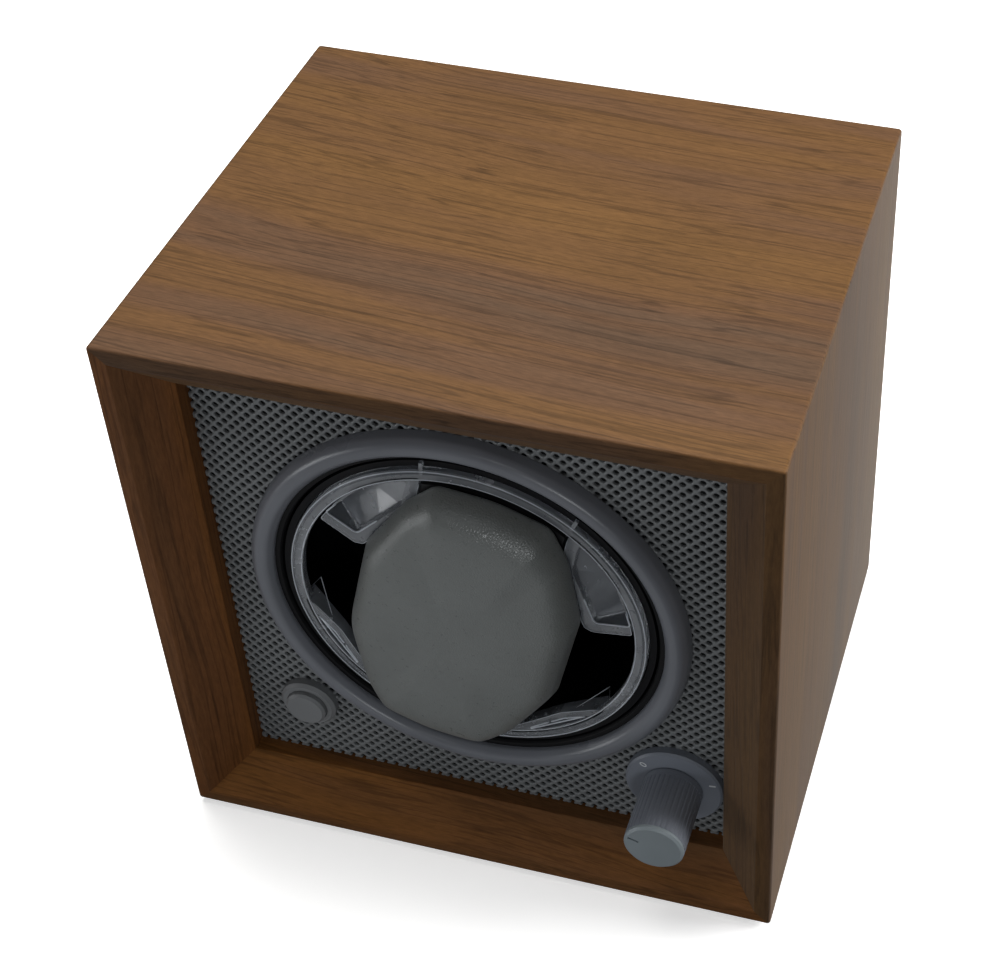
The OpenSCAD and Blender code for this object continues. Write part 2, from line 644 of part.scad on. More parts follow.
module board_standoffs() color([0.72, 0.55, 0.28]) at_standoffs() difference() {
    union() {
        bar(0, 0, 2.2, plate_back, board_depth);
        bar(0, 0, 1.25, plate_back - 3, plate_back);
    }
    bar(0, 0, 1, board_depth - 6, board_depth + cut);
}

module board_screws() color([0.7, 0.71, 0.73]) at_standoffs() {
    bar(0, 0, 0.95, board_depth - 5, board_depth + 1.6);
    bar(0, 0, 2, board_depth + 1.6, board_depth + 2.8);
}

module control_chip() color([0.06, 0.06, 0.07]) slab(board_depth - 2, 2) translate([board_x - 6, board_z])
    square([9, 12], center = true);

module board_capacitors() color([0.1, 0.12, 0.2]) for (i = [0, 1])
    bar(board_x + 6 + 7 * i, board_z - 7, 2.5, board_depth - 8, board_depth);

module dc_jack() color([0.05, 0.05, 0.05]) difference() {
    union() {
        bar(jack_x, jack_z, jack_r, case_d - jack_len, case_d - 0.5);
        slab(case_d - jack_len - 1, 1 + jack_len - back_t - 3) translate([jack_x, jack_z])
            square(9, center = true);
    }
    bar(jack_x, jack_z, jack_bore_r, case_d - 9.5, case_d + cut);
}

module jack_nut() color([0.72, 0.73, 0.75]) slab(back_depth - 3, 3) translate([jack_x, jack_z])
    difference() {
        circle(r = 6, $fn = 6);
        circle(r = jack_r);
    }

module jack_pin() color([0.75, 0.76, 0.78]) bar(jack_x, jack_z, 1, case_d - 9.5, case_d - 1.5);

// Leads: they pass the motor plate through two holes near the floor of the case. The two leads of
// a pair lie side by side in the holes and one behind the other on their way to the board.
board_lead_z = board_z - board_half_h + 4;
board_lead_depth = board_depth - 6;
module board_pair(start, hole, first_depth, end_shift) for (side = [-1, 1]) {
    hole_x = lead_hole_x[0] + side * 1.5;
    end_x = board_x + end_shift + side * 1.5;
    far = first_depth + 1.2 - side * 1.2;
    lead([[start.x + side * start[3], start.y, start.z], [start.x + side * start[3], hole.y - 10, start.z],
        [start.x + side * start[3], hole.y - 12, hole.z], [hole_x, hole.y, hole.z], [hole_x, far, hole.z],
        [end_x, far, board_lead_z - 5], [end_x, far, board_lead_z], [end_x, board_depth, board_lead_z]]);
}

module motor_leads() color([0.7, 0.1, 0.1])
    board_pair([motor_x, plate_depth - motor_len - motor_cap_t, motor_z, 4],
        [0, 60, lead_z + 1.5], 99.8, -11);

module button_leads() color([0.9, 0.9, 0.88])
    board_pair([button_x, panel_back + 12, button_z, 2], [0, 46, lead_z - 1.5], 104.6, -6);

module pot_leads() color([0.85, 0.7, 0.1]) for (side = [-1, 0, 1]) {
    from_x = knob_x + side * 3;
    hole_x = lead_hole_x[1] + side * 2;
    end_x = board_x + 13 + side * 2;
    tag_z = knob_z - 11;
    lead([[from_x, panel_back + 2.6, tag_z], [from_x, 60, tag_z], [hole_x, 74, tag_z],
        [hole_x, board_lead_depth, tag_z], [end_x, board_lead_depth, board_lead_z - 5],
        [end_x, board_lead_depth, board_lead_z], [end_x, board_depth, board_lead_z]]);
}

module power_leads() color([0.1, 0.1, 0.1]) for (side = [-1, 1]) {
    x = jack_x + side * 2.5;
    lead([[x, case_d - jack_len - 1, jack_z], [x, board_lead_depth, jack_z],
        [x, board_lead_depth, board_lead_z], [x, board_depth, board_lead_z]]);
}

top_board();
bottom_board();
left_board();
right_board();
back_panel();
back_screws();
feet();
corner_blocks();
front_panel();
mesh_sheet();
panel_cleats();
bezel_ring();
motor_plate();
plate_screws();
spindle_bush();
drum_cup();
clear_holder();
spindle();
driven_pulley();
pulley_screws();
spindle_clip();
pillow_pad();
pillow_core();
drive_belt();
drive_pulley();
output_shaft();
output_gear();
compound_gear();
gear_pin();
motor_pinion();
motor_shaft();
motor_can();
motor_end_cap();
motor_screws();
gearbox_cover();
cover_screws();
knob();
knob_cap();
dial_plate();
pot_shaft();
pot_body();
pot_nut();
button_cap();
button_body();
button_spring();
button_nut();
control_board();
board_standoffs();
board_screws();
control_chip();
board_capacitors();
dc_jack();
jack_nut();
jack_pin();
motor_leads();
button_leads();
pot_leads();
power_leads();
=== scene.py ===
import json
import math

import bmesh
import bpy
from mathutils import Matrix, Vector, noise


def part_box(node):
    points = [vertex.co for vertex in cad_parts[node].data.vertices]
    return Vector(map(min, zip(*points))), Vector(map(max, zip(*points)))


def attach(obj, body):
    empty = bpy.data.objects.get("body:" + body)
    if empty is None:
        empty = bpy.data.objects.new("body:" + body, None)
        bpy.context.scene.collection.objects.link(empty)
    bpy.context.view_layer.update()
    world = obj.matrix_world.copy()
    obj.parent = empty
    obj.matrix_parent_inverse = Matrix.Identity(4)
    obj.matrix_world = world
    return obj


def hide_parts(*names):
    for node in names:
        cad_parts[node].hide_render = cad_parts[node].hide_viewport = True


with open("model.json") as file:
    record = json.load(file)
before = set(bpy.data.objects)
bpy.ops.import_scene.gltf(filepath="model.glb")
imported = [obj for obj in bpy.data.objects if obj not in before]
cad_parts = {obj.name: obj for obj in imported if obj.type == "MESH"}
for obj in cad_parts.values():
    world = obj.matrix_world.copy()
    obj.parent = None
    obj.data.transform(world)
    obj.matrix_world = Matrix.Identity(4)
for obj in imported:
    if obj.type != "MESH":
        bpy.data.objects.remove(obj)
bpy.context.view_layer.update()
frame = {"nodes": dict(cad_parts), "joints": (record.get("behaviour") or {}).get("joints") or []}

MM = 0.001

# Places that come from the frame, in millimetres. Depth is the distance behind the front rim.
case_low, case_high = (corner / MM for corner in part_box("top_board"))
bottom_low, _ = (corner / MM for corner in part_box("bottom_board"))
FRONT_Y = case_low.y
CASE_DEPTH = case_high.y - case_low.y
CASE_HALF = case_high.x
CASE_MID_Z = (case_high.z + bottom_low.z) / 2
joints = {joint["name"]: joint for joint in frame["joints"]}
DRUM_Z = joints["drum_spin"]["pos_m"][2] / MM
KNOB_X = joints["knob_turn"]["pos_m"][0] / MM
KNOB_Z = joints["knob_turn"]["pos_m"][2] / MM
button_low, button_high = (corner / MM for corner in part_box("button_cap"))
BUTTON_X = (button_low.x + button_high.x) / 2
BUTTON_Z = (button_low.z + button_high.z) / 2
SHEET_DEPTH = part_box("mesh_sheet")[0].y / MM - FRONT_Y
BOARD_T = 14.0
CAVITY_HALF = CASE_HALF - BOARD_T
DRUM_TURN = math.radians(14.5)


# ---------- camera, lights, floor ----------

CAMERA_PLACE = (0.13148, -0.33830, 0.42104)
CAMERA_FORWARD = (-0.194136, 0.738516, -0.645682)
CAMERA_SENSOR = 36
CAMERA_LENS = 72.84
CAMERA_SHIFT = (-0.2011, -0.1190)

AIM = (0, 0, 0.08)
WARM, COOL, COLD = (1, 0.985, 0.96), (0.96, 0.98, 1), (0.95, 0.98, 1)
# Each lamp's name, place, aim, size, power in watts and colour. The card lies on the table, facing up.
LAMPS = [
    ("key", (-0.3, 0.55, 2.6), AIM, (1.6, 1.6), 68.5, WARM),
    ("side", (1.6, 0.5, 0.9), AIM, (0.8, 1.0), 33.5, (1, 1, 1)),
    ("front", (0.05, -1.35, 1.1), AIM, (0.25, 0.2), 0.8, COLD),
    ("glint", (0.3, -1.3, 0.2), AIM, (0.12, 0.08), 1.9, COLD),
    ("bounce", (-1.15, -0.75, 0.05), AIM, (0.6, 0.4), 2.8, COOL),
    ("card", (-0.40, -0.34, 0.002), (-0.40, -0.34, 1), (0.9, 0.5), 0.46, COOL),
]
WORLD_COLOUR = (0.97, 0.98, 1, 1)
WORLD_STRENGTH = 0.06
FLOOR_SIZE = 12
FLOOR_GLOW = 0.58


def make_camera():
    data = bpy.data.cameras.new("camera")
    data.sensor_width = CAMERA_SENSOR
    data.lens = CAMERA_LENS
    data.shift_x, data.shift_y = CAMERA_SHIFT
    data.clip_start = 0.01
    camera = bpy.data.objects.new("camera", data)
    camera.location = CAMERA_PLACE
    camera.rotation_euler = Vector(CAMERA_FORWARD).to_track_quat("-Z", "Y").to_euler()
    bpy.context.scene.collection.objects.link(camera)
    bpy.context.scene.camera = camera


def area_light(name, place, target, size, power, colour):
    data = bpy.data.lights.new(name, "AREA")
    data.shape = "RECTANGLE"
    data.size, data.size_y = size
    data.energy = power
    data.color = colour
    lamp = bpy.data.objects.new(name, data)
    lamp.location = place
    lamp.rotation_euler = (Vector(target) - Vector(place)).to_track_quat("-Z", "Y").to_euler()
    bpy.context.scene.collection.objects.link(lamp)


def make_studio():
    """A white floor under a large high softbox. The dim front is lit from low down and from the left."""
    bpy.context.scene.view_settings.view_transform = "Standard"
    world = bpy.data.worlds.new("studio")
    world.use_nodes = True
    background = world.node_tree.nodes["Background"]
    background.inputs["Color"].default_value = WORLD_COLOUR
    background.inputs["Strength"].default_value = WORLD_STRENGTH
    bpy.context.scene.world = world
    for lamp in LAMPS:
        area_light(*lamp)

    bpy.ops.mesh.primitive_plane_add(size=FLOOR_SIZE)
    floor = bpy.context.object
    floor.name = "floor"
    floor.data.materials.append(plain_floor())
    floor.visible_diffuse = False
    floor.visible_glossy = False


# ---------- materials ----------

class Shader:
    """A node material: its principled shader, and short ways to add and join nodes."""

    def __init__(self, name):
        self.material = bpy.data.materials.new(name)
        self.material.use_nodes = True
        self.tree = self.material.node_tree
        self.shader = self.tree.nodes["Principled BSDF"]
        self.place = self.add("ShaderNodeTexCoord").outputs["Object"]

    def add(self, kind, **values):
        node = self.tree.nodes.new(kind)
        for key, value in values.items():
            setattr(node, key, value)
        return node

    def join(self, source, target):
        self.tree.links.new(source, target)

    def put(self, target, value):
        if isinstance(value, bpy.types.NodeSocket):
            self.join(value, target)
        else:
            target.default_value = value

    def stretched(self, scale, shift=(0, 0, 0), turn=(0, 0, 0), source=None):
        node = self.add("ShaderNodeMapping")
        self.join(source or self.place, node.inputs["Vector"])
        node.inputs["Location"].default_value = shift
        node.inputs["Rotation"].default_value = turn
        node.inputs["Scale"].default_value = scale
        return node.outputs["Vector"]

    def noise(self, vector, scale, detail=4, roughness=0.55):
        node = self.add("ShaderNodeTexNoise")
        self.join(vector, node.inputs["Vector"])
        node.inputs["Scale"].default_value = scale
        node.inputs["Detail"].default_value = detail
        node.inputs["Roughness"].default_value = roughness
        return node.outputs["Fac"]

    def cells(self, vector, scale):
        """Distance to the nearest edge between random cells."""
        node = self.add("ShaderNodeTexVoronoi", feature="DISTANCE_TO_EDGE")
        self.join(vector, node.inputs["Vector"])
        node.inputs["Scale"].default_value = scale
        return node.outputs["Distance"]

    def ramp(self, value, stops):
        """Colours or single shades at their stops, blended between."""
        node = self.add("ShaderNodeValToRGB")
        self.join(value, node.inputs["Fac"])
        ramp = node.color_ramp
        while len(ramp.elements) < len(stops):
            ramp.elements.new(0.5)
        for element, (position, colour) in zip(ramp.elements, stops):
            element.position = position
            if not hasattr(colour, "__len__"):
                colour = (colour, colour, colour)
            element.color = (*colour[:3], 1)
        return node.outputs["Color"]

    def math(self, operation, a, b):
        node = self.add("ShaderNodeMath", operation=operation)
        self.put(node.inputs[0], a)
        self.put(node.inputs[1], b)
        return node.outputs[0]

    def mix(self, factor, a, b, blend="MIX"):
        node = self.add("ShaderNodeMix", data_type="RGBA", blend_type=blend)
        self.put(node.inputs["Factor"], factor)
        for socket, value in ((node.inputs["A"], a), (node.inputs["B"], b)):
            self.put(socket, value if isinstance(value, bpy.types.NodeSocket) else (*value, 1))
        return node.outputs["Result"]

    def bump(self, height, distance, strength):
        node = self.add("ShaderNodeBump")
        self.join(height, node.inputs["Height"])
        node.inputs["Distance"].default_value = distance
        node.inputs["Strength"].default_value = strength
        return node.outputs["Normal"]

    def finish(self, colour=None, roughness=None, normal=None, **uniform):
        inputs = self.shader.inputs
        if colour is not None:
            self.put(inputs["Base Color"], colour)
        if roughness is not None:
            self.put(inputs["Roughness"], roughness)
        if normal is not None:
            self.join(normal, inputs["Normal"])
        for key, value in uniform.items():
            inputs[key.replace("_", " ").title().replace("Ior", "IOR")].default_value = value
        return self.material


def plain_floor():
    look = Shader("floor_white")
    tone = look.ramp(look.noise(look.place, 3), [(0, 0.93), (1, 0.95)])
    return look.finish(tone, 0.9, emission_color=(1, 1, 1, 1), emission_strength=FLOOR_GLOW)


# Noise scales are per metre. A ramp's stops are (noise value, colour or shade).
WALNUT_BANDS = [(0.32, (0.112, 0.063, 0.037)), (0.42, (0.129, 0.065, 0.033)),
                (0.50, (0.146, 0.071, 0.028)), (0.64, (0.160, 0.078, 0.027))]
GROWTH_LINES = [(0.28, 0.84), (0.38, 0.95), (0.46, 1.02), (0.51, 0.98), (0.535, 0.60), (0.55, 0.66),
                (0.58, 1.02), (0.75, 1.06)]
GRAIN_WANDER = 0.013
SLANT_ACROSS, SLANT_UP = math.radians(3.5), math.radians(1.5)


def walnut(name, along, seed, painted_light_tint, painted_glare_sheen):
    """Oiled walnut. along is the axis (0 X, 1 Y, 2 Z) that the grain runs along."""
    look = Shader(name)

    def grain(length, source=None, shift=0.0):
        scale = [1.0, 1.0, 1.0]
        scale[along] = length
        return look.stretched(scale, (seed + shift, seed - shift, seed), source=source)

    # The grain runs a few degrees off the board's edge and wanders slowly.
    slant = look.stretched((1, 1, 1), turn=(0, 0, SLANT_ACROSS) if along == 0 else (SLANT_UP, 0, 0))
    drift = look.noise(grain(0.5, slant), 14, 2, 0.4)
    offset = look.add("ShaderNodeCombineXYZ")
    for axis in range(3):
        if axis != along:
            look.join(drift, offset.inputs[axis])
    warp = look.add("ShaderNodeVectorMath", operation="SCALE")
    look.join(offset.outputs[0], warp.inputs[0])
    warp.inputs["Scale"].default_value = GRAIN_WANDER
    bent = look.add("ShaderNodeVectorMath", operation="ADD")
    look.join(slant, bent.inputs[0])
    look.join(warp.outputs[0], bent.inputs[1])
    bent = bent.outputs[0]

    # The per-board tint scales the bands: painted light and shade, board by board.
    bands = [(stop, [c * t for c, t in zip(colour, painted_light_tint)]) for stop, colour in WALNUT_BANDS]
    colour = look.ramp(look.noise(grain(0.06, bent), 60, 2, 0.5), bands)
    # Growth lines: dark on one side, fading on the other.
    rings = look.noise(grain(0.009, bent, 2.1), 360, 2, 0.45)
    line = look.ramp(rings, GROWTH_LINES)
    colour = look.mix(0.78, colour, line, "MULTIPLY")
    fibres = look.noise(grain(0.012, bent, 4.3), 1300, 3, 0.6)
    colour = look.mix(1.0, colour, look.ramp(fibres, [(0.25, 0.90), (0.5, 1.0), (0.72, 1.07)]), "MULTIPLY")
    pores = look.noise(grain(0.035, bent, 7.9), 1200, 1, 0.5)
    pore = look.ramp(pores, [(0.62, 1.0), (0.70, 0.62)])
    colour = look.mix(0.55, colour, pore, "MULTIPLY")
    flecks = look.noise(grain(0.14, bent, 9.7), 2300, 2, 0.6)
    colour = look.mix(1.0, colour, look.ramp(flecks, [(0.3, 0.84), (0.7, 1.13)]), "MULTIPLY")
    glow = look.ramp(look.noise(grain(0.6, bent, 5.5), 30, 3, 0.6), [(0.3, 0.93), (0.7, 1.06)])
    colour = look.mix(1.0, colour, glow, "MULTIPLY")
    roughness = look.ramp(fibres, [(0.2, 0.60), (0.8, 0.48)])
    relief = look.math("ADD", pore, look.math("MULTIPLY", line, 0.5))
    height = look.math("ADD", look.math("MULTIPLY", fibres, 0.4), relief)
    # The sheen weight comes board by board; the right board's strong sheen is a painted glare.
    return look.finish(colour, roughness, look.bump(height, 0.00006, 0.7), specular_ior_level=0.12,
                       sheen_weight=painted_glare_sheen, sheen_roughness=0.4, sheen_tint=(1, 0.99, 0.95, 1))


def raw_pine(name):
    look = Shader(name)
    rings = look.noise(look.stretched((0.08, 1, 1)), 420, 3)
    colour = look.ramp(rings, [(0.3, (0.50, 0.33, 0.18)), (0.6, (0.66, 0.48, 0.29))])
    return look.finish(colour, 0.75, look.bump(rings, 0.0001, 0.4))


def moulded(name, colour, roughness=0.45, grain=2600, depth=0.00003, spread=0.12, **uniform):
    """Moulded plastic: fine spark texture, faint flow marks, slight wear in the gloss."""
    look = Shader(name)
    texture = look.noise(look.place, grain, 2, 0.6)
    flow = look.noise(look.place, 35, 3)
    low = tuple(c * (1 - spread) for c in colour)
    high = tuple(c * (1 + spread) for c in colour)
    gloss = look.ramp(flow, [(0.25, roughness - 0.06), (0.75, roughness + 0.06)])
    return look.finish(look.ramp(flow, [(0.3, low), (0.7, high)]), gloss,
                       look.bump(texture, depth, 0.5), **uniform)


def turned_metal(name, colour, roughness=0.3, metallic=1.0):
    """Machined or plated metal: fine tool marks and an uneven polish."""
    look = Shader(name)
    marks = look.noise(look.stretched((1, 9, 1)), 900, 2, 0.7)
    tarnish = look.noise(look.place, 120, 3)
    low = tuple(c * 0.82 for c in colour)
    gloss = look.ramp(marks, [(0.3, roughness - 0.08), (0.7, roughness + 0.1)])
    return look.finish(look.ramp(tarnish, [(0.35, low), (0.65, colour)]), gloss,
                       look.bump(marks, 0.00001, 0.5), metallic=metallic)


def rubber(name, colour):
    look = Shader(name)
    bloom = look.noise(look.place, 300, 4, 0.6)
    high = tuple(min(1, c * 1.5 + 0.005) for c in colour)
    return look.finish(look.ramp(bloom, [(0.35, colour), (0.75, high)]), 0.7, look.bump(bloom, 0.00004, 0.5))


def circuit_board(name):
    look = Shader(name)
    tracks = look.add("ShaderNodeTexBrick", offset=0.5)
    look.join(look.stretched((1, 1, 1), turn=(math.pi / 2, 0, 0)), tracks.inputs["Vector"])
    tracks.inputs["Scale"].default_value = 220
    tracks.inputs["Mortar Size"].default_value = 0.04
    tracks.inputs["Color1"].default_value = (0.010, 0.105, 0.042, 1)
    tracks.inputs["Color2"].default_value = (0.012, 0.125, 0.050, 1)
    tracks.inputs["Mortar"].default_value = (0.020, 0.200, 0.080, 1)
    return look.finish(tracks.outputs["Color"], 0.35, look.bump(tracks.outputs["Fac"], 0.00003, 0.4))


def leather(name):
    """Soft grey leather: pebbled grain in two sizes, uneven dye."""
    look = Shader(name)
    pebble = look.cells(look.place, 1500)
    small = look.noise(look.place, 3600, 2, 0.5)
    dye = look.noise(look.place, 70, 4, 0.6)
    mottle = look.noise(look.place, 700, 3, 0.6)
    base = look.ramp(dye, [(0.3, (0.197, 0.209, 0.203)), (0.7, (0.213, 0.226, 0.220))])
    spots = look.ramp(mottle, [(0.3, 0.95), (0.7, 1.04)])
    colour = look.mix(0.8, base, spots, "MULTIPLY")
    height = look.math("ADD", look.ramp(pebble, [(0.0, 0.0), (0.25, 1.0)]), look.math("MULTIPLY", small, 0.35))
    gloss = look.ramp(mottle, [(0.3, 0.26), (0.7, 0.38)])
    return look.finish(colour, gloss, look.bump(height, 0.00006, 0.5), specular_ior_level=0.7,
                       sheen_weight=0.08, sheen_roughness=0.4)


def clear_plastic(name, frost, edge, clearness):
    """Clear moulding with a satin face: partly see-through, with flow marks and a soft gloss."""
    look = Shader(name)
    flow = look.noise(look.place, 160, 4, 0.6)
    fine = look.noise(look.place, 1500, 2, 0.5)
    gloss = look.ramp(flow, [(0.3, edge), (0.7, edge + 0.16)])
    height = look.math("ADD", flow, look.math("MULTIPLY", fine, 0.3))
    low = tuple(c * frost for c in (0.62, 0.66, 0.72))
    high = tuple(c * frost for c in (0.80, 0.84, 0.90))
    return look.finish(look.ramp(flow, [(0.3, low), (0.7, high)]), gloss, look.bump(height, 0.00015, 0.5),
                       transmission_weight=clearness, ior=1.49, coat_weight=0.4, coat_roughness=0.08)


# ---------- mesh helpers ----------

def rounded(points, radii, steps=6):
    """A closed outline with its corners rounded: points are (a, b), radii one per point."""
    out = []
    count = len(points)
    for i, (point, radius) in enumerate(zip(points, radii)):
        here = Vector(point)
        before = Vector(points[i - 1]) - here
        after = Vector(points[(i + 1) % count]) - here
        angle = before.angle(after)
        if radius <= 0 or abs(angle - math.pi) < 1e-3:
            out.append(here)
            continue
        reach = min(radius / math.tan(angle / 2), 0.49 * before.length, 0.49 * after.length)
        real = reach * math.tan(angle / 2)
        middle = here + (before.normalized() + after.normalized()).normalized() * real / math.sin(angle / 2)
        start = here + before.normalized() * reach - middle
        turn = start.angle_signed(here + after.normalized() * reach - middle)
        for k in range(steps + 1):
            spin = Matrix.Rotation(-turn * k / steps, 2)
            out.append(middle + spin @ start)
    return out


def make_piece(name, bm, body, material, replaces=(), sharp=35):
    """The bmesh, in millimetres in the row frame, as a finished object riding on a body."""
    bmesh.ops.recalc_face_normals(bm, faces=bm.faces)
    bmesh.ops.scale(bm, vec=(MM, MM, MM), verts=bm.verts)
    mesh = bpy.data.meshes.new(name)
    bm.to_mesh(mesh)
    bm.free()
    mesh.shade_smooth()
    mesh.set_sharp_from_angle(angle=math.radians(sharp))
    mesh.materials.append(material)
    piece = bpy.data.objects.new(name, mesh)
    bpy.context.scene.collection.objects.link(piece)
    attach(piece, body)
    if replaces:
        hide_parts(*replaces)
    return piece


def skin(bm, rings, closed=True, caps=False):
    """Quads between successive rings of points; closed joins the last ring to the first."""
    rows = [[bm.verts.new(point) for point in ring] for ring in rings]
    pairs = list(zip(rows, rows[1:])) + ([(rows[-1], rows[0])] if closed else [])
    for a, b in pairs:
        for i in range(len(a)):
            j = (i + 1) % len(a)
            bm.faces.new((a[i], a[j], b[j], b[i]))
    if caps:
        bm.faces.new(rows[0])
        bm.faces.new(rows[-1])
    return rows


LATHE_STEPS = 256


def lathe(outline, x, z):
    """A turned solid about the Y axis through (x, z). The outline is closed, of (radius, depth)."""
    bm = bmesh.new()
    rings = []
    for k in range(LATHE_STEPS):
        turn = 2 * math.pi * k / LATHE_STEPS
        rings.append([(x + r * math.sin(turn), FRONT_Y + depth, z + r * math.cos(turn))
                      for r, depth in outline])
    skin(bm, rings)
    bmesh.ops.remove_doubles(bm, verts=bm.verts, dist=1e-5)
    return bm


def drum_point(u, v, depth):
    """A point of the drum's own frame (u across the pillow, v along it) in the row frame."""
    c, s = math.cos(DRUM_TURN), math.sin(DRUM_TURN)
    return (u * c + v * s, FRONT_Y + depth, DRUM_Z - u * s + v * c)


# ---------- case ----------

BOARD_CORNER_R = 0.9
BOARD_SECTION = [(0, 0), (CASE_DEPTH, 0), (CASE_DEPTH, 9), (CASE_DEPTH - 4, 9), (CASE_DEPTH - 4, BOARD_T),
                 (8.5, BOARD_T), (0, 4)]
BOARD_RADII = [0.7, 0.7, 0.2, 0, 0.2, 0.35, 0.45]
CORNER_STEPS = 5
# The four boards in turn about the Y axis: name, axis of the grain, tint of painted light and sheen of painted glare.
# Painted light: the tints make lit and shaded copies of one walnut, the bottom and left boards brighter and redder,
# the right one greyer.
BOARDS = [("top", 0, (1.02, 1.04, 1.02), 0.06), ("right", 2, (0.95, 0.97, 0.92), 0.35),
          ("bottom", 0, (1.68, 1.40, 0.92), 0.03), ("left", 2, (1.50, 1.18, 0.80), 0.03)]


def make_board(name, quarter, material):
    """One mitred board; its section is swept along the rounded square of the case."""
    section = rounded(BOARD_SECTION, BOARD_RADII, 4)
    spin = Matrix.Rotation(math.radians(90 * quarter), 3, "Y")
    bends = [math.pi / 4 * (1 - k / CORNER_STEPS) for k in range(CORNER_STEPS + 1)]
    rings = []
    for side in (1, -1):
        for bend in (bends if side > 0 else reversed(bends)):
            ring = []
            for depth, inset in section:
                half = CASE_HALF - inset
                radius = max(BOARD_CORNER_R - inset, 0)
                x = side * (half - radius + radius * math.sin(bend))
                z = half - radius + radius * math.cos(bend)
                point = spin @ Vector((x, 0, z))
                ring.append((point.x, FRONT_Y + depth, CASE_MID_Z + point.z))
            rings.append(ring)
    bm = bmesh.new()
    skin(bm, rings, closed=False, caps=True)
    bmesh.ops.remove_doubles(bm, verts=bm.verts, dist=1e-5)
    return make_piece(name, bm, "case", material, (name.replace("walnut", "board"),))


def make_case():
    for quarter, (side, along, painted_light_tint, painted_glare_sheen) in enumerate(BOARDS):
        wood = walnut("walnut_" + side, along, 3.7 * quarter + 1.3, painted_light_tint, painted_glare_sheen)
        make_board(side + "_walnut", quarter, wood)


# ---------- perforated sheet ----------

HOLE_PITCH_X = 1.446
HOLE_PITCH_Z = 1.470
HOLE_R = 0.70
SHEET_T = 0.8
SECTORS = 12
# Each hole is dished: a soft shoulder part of the way out from the hole, and a lip at its edge.
SHOULDER = 0.42
SHOULDER_DROP = 0.05
LIP_DROP = 0.22
# The sheet is left out behind the bezel, the knob's shaft and the button's barrel.
BEZEL_HOLE_R, KNOB_HOLE_R, BUTTON_HOLE_R = 49.0, 5.0, 6.0
SHEET_HALF = CAVITY_HALF - 0.15


def sheet_cells(outside):
    """Centres of the holes: a lattice at 45 degrees, kept where outside(x, z) is true."""
    cells = {}
    reach_x = int(CAVITY_HALF / HOLE_PITCH_X) + 2
    reach_z = int(CAVITY_HALF / HOLE_PITCH_Z) + 2
    for i in range(-reach_x, reach_x + 1):
        for k in range(-reach_z, reach_z + 1):
            if (i + k) % 2 == 0:
                x, z = i * HOLE_PITCH_X, CASE_MID_Z + k * HOLE_PITCH_Z
                if outside(x, z):
                    cells[i, k] = (x, z)
    return cells


def make_sheet(material):
    """The sheet as one closed solid. Every cell is a diamond with a round hole, cut in 12 sectors;
    a sector is left out where the bezel or a control comes through."""
    def open_at(x, z):
        return (math.hypot(x, z - DRUM_Z) > BEZEL_HOLE_R and math.hypot(x - KNOB_X, z - KNOB_Z) > KNOB_HOLE_R
                and math.hypot(x - BUTTON_X, z - BUTTON_Z) > BUTTON_HOLE_R)

    def near(x, z):
        margin = HOLE_PITCH_Z
        return (abs(x) < SHEET_HALF + margin and abs(z - CASE_MID_Z) < SHEET_HALF + margin
                and math.hypot(x, z - DRUM_Z) > BEZEL_HOLE_R - margin)

    cells = sheet_cells(near)
    corners = [(HOLE_PITCH_X, 0), (0, HOLE_PITCH_Z), (-HOLE_PITCH_X, 0), (0, -HOLE_PITCH_Z)]
    rim = []
    for side in range(4):
        (x0, z0), (x1, z1) = corners[side], corners[(side + 1) % 4]
        rim += [(x0 + (x1 - x0) * p / 3, z0 + (z1 - z0) * p / 3) for p in range(3)]
    steps = [(1, 1), (-1, 1), (-1, -1), (1, -1)]
    hole = [(HOLE_R * math.cos(2 * math.pi * k / SECTORS), HOLE_R * math.sin(2 * math.pi * k / SECTORS))
            for k in range(SECTORS)]
    top = FRONT_Y + SHEET_DEPTH
    kept = set()
    for key, (x, z) in cells.items():
        for k in range(SECTORS):
            a, b = rim[k], rim[(k + 1) % SECTORS]
            if open_at(x + (a[0] + b[0]) / 2, z + (a[1] + b[1]) / 2) and open_at(x, z):
                kept.add((*key, k))

    bm = bmesh.new()
    verts = {}

    def vert(x, z, y):
        key = (round(x * 1000), round(z * 1000), round(y * 1000))
        if key not in verts:
            verts[key] = bm.verts.new((x, y, z))
        return verts[key]

    for i, k, s in sorted(kept):
        x, z = cells[i, k]
        t = (s + 1) % SECTORS
        column = []
        for q in (s, t):
            rx, rz = rim[q]
            hx, hz = hole[q]
            mx, mz = hx + (rx - hx) * SHOULDER, hz + (rz - hz) * SHOULDER
            column.append([vert(x + rx, z + rz, top), vert(x + mx, z + mz, top + SHOULDER_DROP),
                           vert(x + hx, z + hz, top + LIP_DROP), vert(x + hx, z + hz, top + SHEET_T),
                           vert(x + rx, z + rz, top + SHEET_T)])
        a, b = column
        for n in range(4):
            bm.faces.new((a[n], a[n + 1], b[n + 1], b[n]))
        side, part = divmod(s, 3)
        di, dk = steps[side]
        if (i + di, k + dk, ((side + 2) % 4) * 3 + 2 - part) not in kept:
            bm.faces.new((a[4], a[0], b[0], b[4]))
        if (i, k, (s - 1) % SECTORS) not in kept:
            bm.faces.new(a)
        if (i, k, t) not in kept:
            bm.faces.new(b)
    for axis, sign in ((0, 1), (0, -1), (2, 1), (2, -1)):
        place, normal = [0, 0, CASE_MID_Z], [0, 0, 0]
        place[axis] += sign * SHEET_HALF
        normal[axis] = sign
        cut = bmesh.ops.bisect_plane(bm, geom=bm.verts[:] + bm.edges[:] + bm.faces[:], dist=1e-5,
                                     plane_co=place, plane_no=normal, clear_outer=True)
        edges = [e for e in cut["geom_cut"] if isinstance(e, bmesh.types.BMEdge) and e.is_boundary]
        bmesh.ops.holes_fill(bm, edges=edges, sides=0)
    return make_piece("perforated_sheet", bm, "case", material, ("mesh_sheet",), sharp=60)


# ---------- bezel, dial, button, knob ----------

